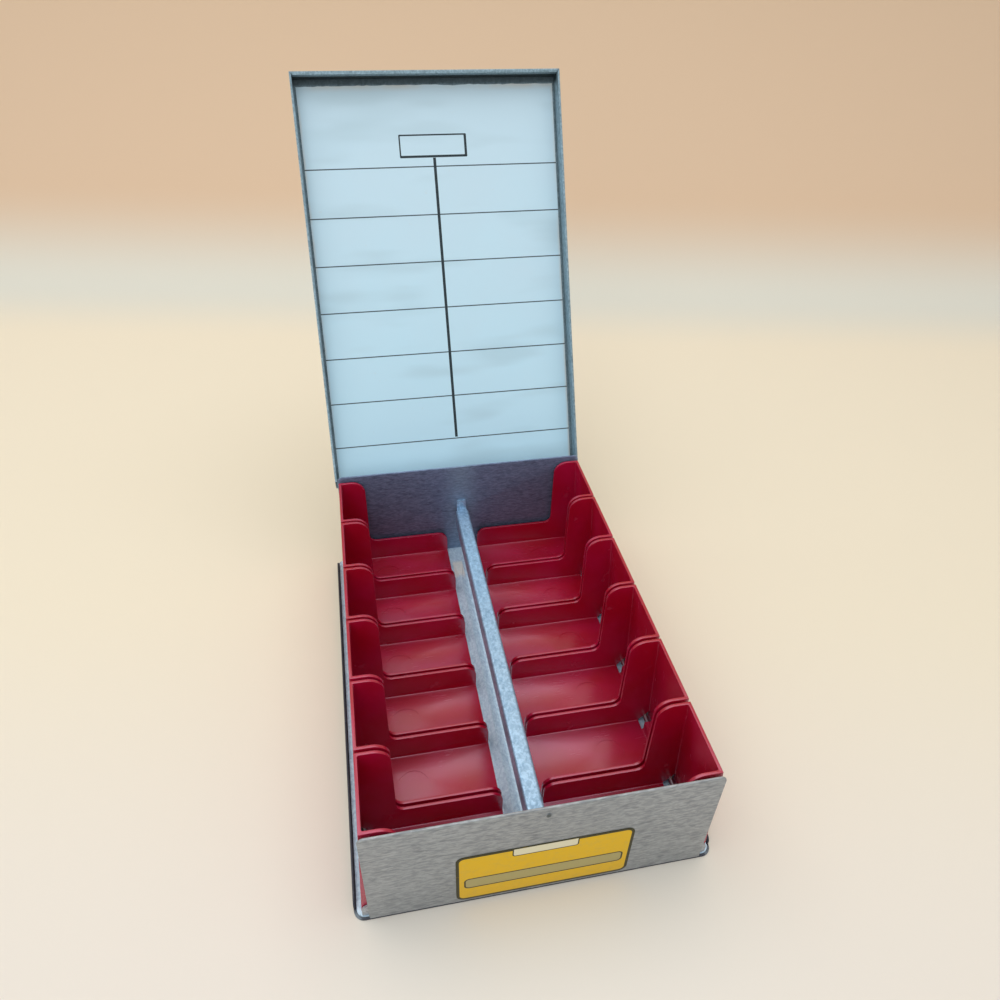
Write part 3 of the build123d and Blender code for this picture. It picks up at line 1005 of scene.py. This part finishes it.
@dataclass
class Trays:
    """Twelve red trays, one moulding in two columns of six, numbered from the front."""

    rows: int = 6
    pitch: float = 186.8 / 6
    half_length: float = 14.967
    inner_x: float = 8.2
    tall_x: float = 49.3
    outer_x: float = 61.9
    flare: float = tan(radians(3.6))
    wall: float = 1.2
    foot: float = 1.7
    floor: float = 2.9
    low_top: float = 15.2
    top: float = 54.6
    ledge_x: float = 59.8
    ledge_top: float = 7.4
    pivot: Spot = (62.0, 4.8)
    heel_radius: float = 3.15
    heel_angle: float = 30.0
    tall_corner: float = 6.5
    step_corner: float = 3.5
    low_corner: float = 5.0
    mark_x: float = 41.6
    mark_radius: float = 6.25
    mark_depth: float = 0.15
    hole_radius: float = 1.05
    outer_edge: float = 0.26
    floor_root: float = 0.35
    wall_root: float = 0.7
    stock_end: float = 72.0
    core_start: float = -4.0
    core_top: float = 60.0
    core_reach: float = 8.0
    notch_start: float = 45.0
    notch_x: float = 59.0
    notch_top: float = 20.0
    notch_slope: float = 51.0
    notch_reach: float = 6.0
    notch_past: float = 0.6
    notch_below: float = 6.0
    notch_taper: float = 0.85
    taper_about: float = 3.2
    slot_inset: float = 0.4
    slot_skin: float = 0.02
    slot_rise: float = 1.0

    def lean(self) -> Place:
        """Outward normal of the leaning outer wall."""
        return (1.0, 0.0, self.flare)

    def outline(self) -> Workpiece:
        """Shapes the outside: a low trough with a tall part at its outer end."""
        h = self.half_length
        tray = Workpiece.block("tray_moulding", (self.inner_x, -h, self.foot),
                               (self.stock_end, h, self.low_top))
        tray.saw((self.tall_x, 0, 0), (1, 0, 0), clear=False)
        tray.faces(lambda middle, facing: upward(middle, facing) and middle.x > self.tall_x)
        tray.extrude((0, 0, self.top - self.low_top))
        tray.saw((self.outer_x, 0, self.top), self.lean())
        turn = radians(self.heel_angle)
        heel = (self.pivot[0] + self.heel_radius * sin(turn), 0,
                self.pivot[1] - self.heel_radius * cos(turn))
        tray.saw(heel, (sin(turn), 0, -cos(turn)))
        tray.edges(lambda a, b: abs(a.y - b.y) > 1 and a.z < self.foot + TIGHT
                   and abs(a.x - self.pivot[0]) < 2)
        tray.round(self.heel_radius * tan(turn / 2), 4)
        for x, z, radius, segments in ((self.tall_x, self.top, self.tall_corner, 12),
                                       (self.tall_x, self.low_top, self.step_corner, 8),
                                       (self.inner_x, self.low_top, self.low_corner, 10)):
            corner = Vector((x, 0, z))
            tray.edges(lambda a, b: abs(a.y - b.y) > 1
                       and (Vector((a.x, 0, a.z)) - corner).length < 0.05)
            tray.round(radius, segments)
        return tray

    def hollow(self) -> Workpiece:
        """Shapes the core that leaves the floor, three walls and the ledge over the rod."""
        w = self.half_length - self.wall
        core = Workpiece.block("core", (self.core_start, -w, self.floor),
                               (self.ledge_x, w, self.ledge_top))
        core.faces(upward).extrude((0, 0, self.core_top - self.ledge_top))
        core.faces(lambda middle, facing: facing.x > SQUARE_ON and middle.z > self.ledge_top)
        core.extrude((self.core_reach, 0, 0))
        core.saw((self.outer_x - self.wall, 0, self.top), self.lean())
        core.edges(lambda a, b: max(a.z, b.z) < self.floor + TIGHT and max(a.x, b.x) >= 0)
        core.round(self.floor_root, 2)
        core.edges(lambda a, b: min(a.x, b.x) > self.ledge_x + NEAR and abs(a.z - b.z) > 10)
        return core.round(self.wall_root, 3)

    def notch(self) -> Workpiece:
        """Shapes the cut at the rear outer corner that clears a lug and shows the rod."""
        h, rise = self.half_length, tan(radians(self.notch_slope))
        right = self.outer_x + (self.top - self.floor) * self.flare - self.wall
        low = self.floor - self.notch_below
        notch = Workpiece.block("notch", (self.notch_start, h - self.notch_reach, low),
                                (right, h + self.notch_past, self.notch_top))
        notch.saw((self.notch_x, 0, self.floor), (-rise, 0, 1)).faces(frontward)
        notch.resize((self.notch_taper, 1, self.notch_taper),
                     (right - self.taper_about, 0, low + self.taper_about))
        slot = Workpiece.block("slot", (self.notch_x, h - self.notch_reach, low),
                               (right - self.slot_inset, h - self.wall - self.slot_skin,
                                self.ledge_top + self.slot_rise))
        return notch.carve(slot, Cut.ONTO)

    def moulding(self) -> Workpiece:
        """Makes the one right-hand tray that all the others are copies of."""
        tray = self.outline().carve(self.hollow())
        tray.true_up().soften(self.outer_edge, 3, 40).split_faces()
        tray.carve(self.mould_mark()).carve(self.notch())
        x, z = self.pivot
        tray.carve(Workpiece.bar("hole", self.hole_radius, (x, 0, z), 40, Along.Y, 24))
        return tray.true_up().shade()

    def mould_mark(self) -> Workpiece:
        """Shapes the shallow round mark in the tray's floor."""
        x, radius, depth = self.mark_x, self.mark_radius, self.mark_depth
        mark = Workpiece.block("mark", (x - radius, -radius, self.floor - depth),
                               (x + radius, radius, self.floor + depth))
        mark.edges(lambda a, b: abs(a.z - b.z) > depth)
        return mark.round(radius * 0.999, 14)

    def build(self) -> None:
        """Copies the moulding to its twelve places and dresses the trays."""
        model = self.moulding()
        red = Crimson().material()
        for row in range(self.rows):
            y = (row - (self.rows - 1) / 2) * self.pitch
            for side in Side:
                node = f"tray_{side.name.lower()}_{row + 1}"
                model.twin(f"{node}_moulded", (0, y, 0), side).hand_over(node, node, "red_plastic", red)
        model.drop()


# ---------------------------------------------------------------- the lid


@dataclass
class Lid:
    """The lid, drawn closed about its hinge axis and swung to where it stands open."""

    hinge: Place = (0.0, 97.0, 48.8)
    open_by: float = -117.0
    half_width: float = 63.8
    back: float = 1.7
    front: float = -194.1
    edge: float = 0.1
    top: float = 9.3
    sheet: float = 0.9
    bend: float = 1.1
    seam: float = 0.14
    side_rim_gap: float = 3.0
    overlap: float = 0.3
    rim_edge: float = 0.2
    hem_depth: float = 3.3
    hem_sheet: float = 0.6
    hem_gap: float = 0.35
    pin_hole: float = 0.85
    curl_radius: float = 1.7
    curl_middle: float = 29.0
    curl_length: float = 29.2
    leaf_half_length: float = 58.4
    leaf_reach: float = 2.4
    stop_lip: float = 1.266

    def pan(self) -> Workpiece:
        """Folds the sheet into a shallow pan with seams at its two front corners."""
        w = self.half_width
        pan = Workpiece.block("lid_folded", (-w, self.front, self.edge), (w, self.back, self.top))
        pan.faces(downward).work(bpy.ops.mesh.delete, type="FACE")
        pan.edges(lambda a, b: min(a.z, b.z) > self.top - NEAR).round(self.bend, 4)
        pan.edges(lambda a, b: abs(a.z - b.z) > 5 and a.y < self.front + NEAR).round(self.seam, 1)
        pan.faces(lambda _, facing: facing.y < -0.5 and abs(facing.x) > 0.5
                  and abs(facing.z) < 0.1).work(bpy.ops.mesh.delete, type="FACE")
        pan.modify("SOLIDIFY", thickness=self.sheet * MM, offset=-1, use_even_offset=True)
        return pan.split_faces()

    def hem(self) -> Workpiece:
        """Folds the front rim's edge back inside it."""
        inside, w = self.front + self.sheet, self.half_width - self.sheet - self.hem_gap
        hem = Workpiece.block("hem", (-w, inside, self.edge), (w, inside + self.hem_sheet, self.hem_depth))
        return hem.soften(0.2, 3)

    def curls(self) -> list[Workpiece]:
        """Rolls the back rim's two curls and folds their stop lips."""
        made = []
        for side in Side:
            x = side.value * self.curl_middle
            half = self.curl_length / 2
            made.append(Workpiece.block("lip", (x - half, self.back - self.sheet, -self.stop_lip),
                                        (x + half, self.back, self.leaf_reach + 0.5)))
            made.append(Workpiece.bar("curl", self.curl_radius, (x, 0, 0), self.curl_length, Along.X))
        return made

    def build(self) -> None:
        """Builds the lid, swings it open and dresses it."""
        lid = self.pan()
        for side in Side:
            low_x, high_x = span(side, self.half_width - self.sheet - self.overlap,
                                 self.half_width + 1)
            lid.carve(Workpiece.block("corner", (low_x, -self.side_rim_gap, -1),
                                      (high_x, self.back + 1, self.top - self.bend)))
        relief = self.leaf_half_length
        lid.carve(Workpiece.block("relief", (-relief, self.back - self.sheet - self.overlap, -2),
                                  (relief, self.back + 1, self.leaf_reach)))
        for curl in self.curls():
            lid.carve(curl, Cut.ONTO)
        lid.carve(Workpiece.bar("pin_hole", self.pin_hole, (0, 0, 0), 2 * relief, Along.X))
        lid.true_up().edges(lambda a, b: max(a.z, b.z) < self.edge + TIGHT and min(a.z, b.z) > 0
                            and (a - b).length > 5)
        lid.round(self.rim_edge, 2)
        lid.join(self.hem()).true_up().shade().swing(self.hinge, self.open_by)
        # the lid's fold mark lays painted shade in its front fold and side-rim creases
        paint = Hammertone("grey hammertone, lid", (0.14, 0.21, 0.24, 1), (0.33, 0.46, 0.53, 1),
                           (1.5, 2.2, 1.1), 0.04, 0.36, 0.55, self.hinge, self.open_by, Mark.DARK_FOLD)
        lid.hand_over("lid", "lid", "grey_hammertone", paint.material())


@dataclass
class IndexCard:
    """The paper card glued inside the lid, a little wavy and worn along its top edge."""

    lid: Lid = field(default_factory=Lid)
    half_width: float = 61.8
    front: float = -190.2
    back: float = -2.0
    panel_face: float = 8.4
    glue: float = 0.06
    paper: float = 0.2
    wave: float = 0.4
    wave_size: float = 55.0
    tear: float = 1.1
    tear_size: float = 4.0
    held: float = 14.0

    def build(self) -> None:
        """Cuts the card, lets it warp, and swings it open with the lid."""
        face = self.panel_face - self.glue
        card = Workpiece.sheet("index_card_ruled", (-self.half_width, self.front, face),
                               (self.half_width, self.back, face), 60, 90)
        warp = bpy.data.textures.new("card warp", "CLOUDS")
        warp.noise_scale = self.wave_size * MM
        loose = card.obj.vertex_groups.new(name="loose part")
        for vertex in card.obj.data.vertices:
            from_hinge = -vertex.co.y / MM - self.held
            loose.add([vertex.index], min(1.0, max(0.0, from_hinge / self.held)), "ADD")
        card.modify("DISPLACE", texture=warp, texture_coords="LOCAL", direction="Z",
                    strength=-self.wave * MM, mid_level=0.0, vertex_group=loose.name)
        tear = bpy.data.textures.new("card edge", "CLOUDS")
        tear.noise_scale = self.tear_size * MM
        edge = card.obj.vertex_groups.new(name="worn edge")
        edge.add([v.index for v in card.obj.data.vertices if v.co.y / MM < self.front + 1.0], 1.0, "ADD")
        card.modify("DISPLACE", texture=tear, texture_coords="LOCAL", direction="Y",
                    strength=self.tear * MM, mid_level=0.25, vertex_group=edge.name)
        card.modify("SOLIDIFY", thickness=self.paper * MM, offset=-1)
        card.true_up().shade(60).swing(self.lid.hinge, self.lid.open_by)
        paper = RuledCard(self.lid.hinge, self.lid.open_by)
        card.hand_over("lid", "index_card", "card", paper.material())


# ---------------------------------------------------------------- the studio


@dataclass
class Studio:
    """Paper sweep, soft light and the camera."""

    lens: float = 27.733
    eye: Place = (-46.83, -222.35, 289.56)
    right: Place = (0.98111, -0.19212, 0.02264)
    down: Place = (-0.10224, -0.6143, -0.78242)
    ahead: Place = (0.16423, 0.76533, -0.62234)
    sweep_half_width: float = 2600.0
    sweep_front: float = -1800.0
    sweep_back: float = 700.0
    sweep_height: float = 2200.0
    sweep_bend: float = 330.0
    sweep_turn: float = -11.1
    room_light: Colour = (0.93, 0.96, 1.0, 1.0)
    room_strength: float = 0.6
    room_seen: Colour = (0.80, 0.74, 0.66, 1.0)

    def camera(self) -> None:
        """Stands the camera where the picture was taken from."""
        data = bpy.data.cameras.new("camera")
        data.lens, data.sensor_width, data.clip_start = self.lens, 36.0, 0.01
        camera = bpy.data.objects.new("camera", data)
        bpy.context.scene.collection.objects.link(camera)
        turn = Matrix((self.right, -Vector(self.down), -Vector(self.ahead))).transposed().to_4x4()
        camera.matrix_world = Matrix.Translation(Vector(self.eye) * MM) @ turn
        bpy.context.scene.camera = camera

    def sweep(self) -> None:
        """Lays the paper and curves it up behind the file."""
        w, back = self.sweep_half_width, self.sweep_back
        paper = Workpiece.block("paper_sweep", (-w, self.sweep_front, -1), (w, back, 0))
        paper.faces(lambda _, facing: facing.z < SQUARE_ON).work(bpy.ops.mesh.delete, type="FACE")
        paper.edges(lambda a, b: min(a.y, b.y) > back - 1)
        paper.work(bpy.ops.mesh.extrude_edges_move,
                   TRANSFORM_OT_translate={"value": Vector((0, 0, self.sweep_height)) * MM})
        paper.edges(lambda a, b: min(a.y, b.y) > back - 1 and max(a.z, b.z) < 1)
        paper.round(self.sweep_bend, 16)
        paper.obj.rotation_euler.z = radians(self.sweep_turn)
        paper.settle().shade(60)
        paper.obj.data.materials.append(PaperSweep().material())

    def lamp(self, name: str, place: Place, aim: Place, size: float, power: float, tint: Place) -> None:
        """Hangs one soft lamp.

        Args:
            name: the lamp's name.
            place: where it hangs.
            aim: the point it faces.
            size: side of its square face.
            power: watts.
            tint: colour of its light.
        """
        data = bpy.data.lights.new(name, "AREA")
        data.shape, data.size, data.energy, data.color = "SQUARE", size * MM, power, tint
        lamp = bpy.data.objects.new(name, data)
        bpy.context.scene.collection.objects.link(lamp)
        lamp.location = Vector(place) * MM
        lamp.rotation_euler = (Vector(aim) - Vector(place)).to_track_quat("-Z", "Y").to_euler()

    def surroundings(self) -> None:
        """Fills the room with even light, and shows it pale where the paper ends."""
        world = bpy.data.worlds.new("studio")
        world.use_nodes = True
        recipe = Recipe("surroundings", world)
        path = recipe.node("ShaderNodeLightPath", {}, {}, "Is Camera Ray")
        room, seen = (recipe.node("ShaderNodeBackground", {}, {"Color": colour, "Strength": strength})
                      for colour, strength in ((self.room_light, self.room_strength),
                                               (self.room_seen, 1.0)))
        recipe.deliver(recipe.node("ShaderNodeMixShader", {}, {0: path, 1: room, 2: seen}),
                       "ShaderNodeOutputWorld")
        bpy.context.scene.world = world

    def build(self) -> None:
        """Sets up the whole studio."""
        self.camera()
        self.sweep()
        self.lamp("overhead", (-80, 330, 1150), (-20, 200, 0), 1600, 12.4, (0.95, 0.985, 1.0))
        self.lamp("front fill", (-450, -1100, 750), (0, 0, 60), 900, 3.2, (0.97, 0.99, 1.0))
        self.surroundings()
        bpy.context.scene.view_settings.view_transform = "Standard"


def main() -> None:
    """Builds the file piece by piece, then the studio."""
    logging.basicConfig(level=logging.INFO, format="%(message)s")
    Case().build()
    FrontLabel().build()
    Pivots().build()
    Trays().build()
    Lid().build()
    IndexCard().build()
    Studio().build()


if __name__ == "__main__":
    main()
